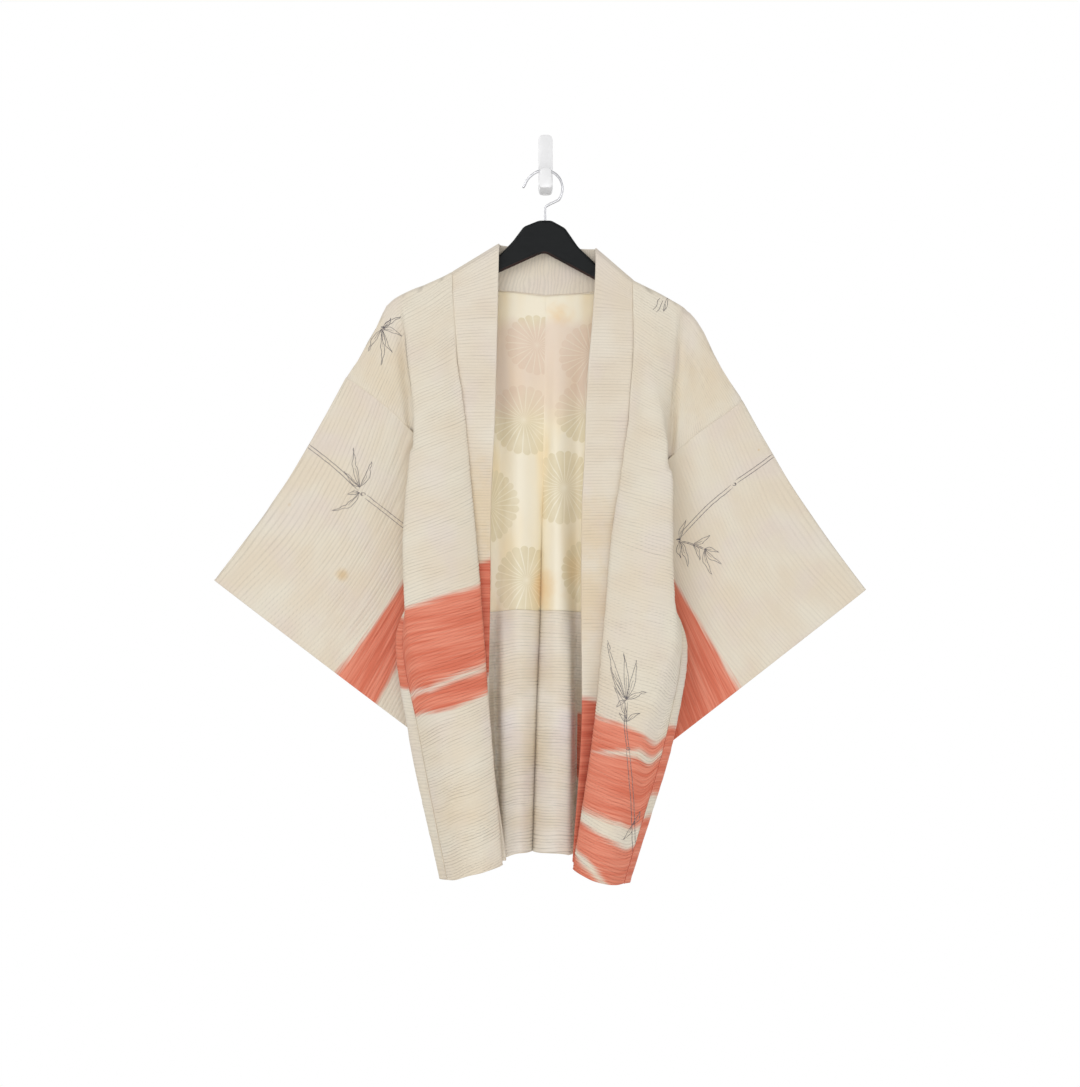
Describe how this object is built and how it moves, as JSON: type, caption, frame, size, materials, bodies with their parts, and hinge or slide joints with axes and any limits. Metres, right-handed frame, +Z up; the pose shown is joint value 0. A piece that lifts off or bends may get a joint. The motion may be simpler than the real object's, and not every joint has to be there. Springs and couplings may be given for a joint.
{
  "type": "haori jacket on a clothes hanger and wall hook",
  "caption": "Open-fronted haori jacket with wide bag sleeves and a long collar band, hanging on a clothes hanger from a wall hook.",
  "frame": {"origin": "middle of the wall hook's flat back, on the wall", "axes": "+Z up, +Y into the wall, the garment's front faces -Y, +X towards the wearer's left"},
  "size_m": [0.896, 0.1278, 1.0272],
  "materials": {
    "crepe": "cream silk crepe with fine cross ridges and brushed coral bands",
    "lining": "pale yellow figured silk with tone-on-tone chrysanthemums",
    "hanger_black": "satin black moulded",
    "hook_steel": "bright steel wire",
    "hook_plastic": "pale translucent plastic"
  },
  "bodies": {
    "root": {"front_right": "crepe", "front_left": "crepe", "back_right": "crepe", "back_left": "crepe", "turn_up_right": "crepe", "turn_up_left": "crepe", "gusset_right": "crepe", "gusset_left": "crepe", "sleeve_right": "crepe", "sleeve_left": "crepe", "collar": "crepe", "lining_right": "lining", "lining_left": "lining", "hanger_body": "hanger_black", "hanger_hook": "hook_steel", "wall_hook": "hook_plastic"}
  },
  "joints": []
}
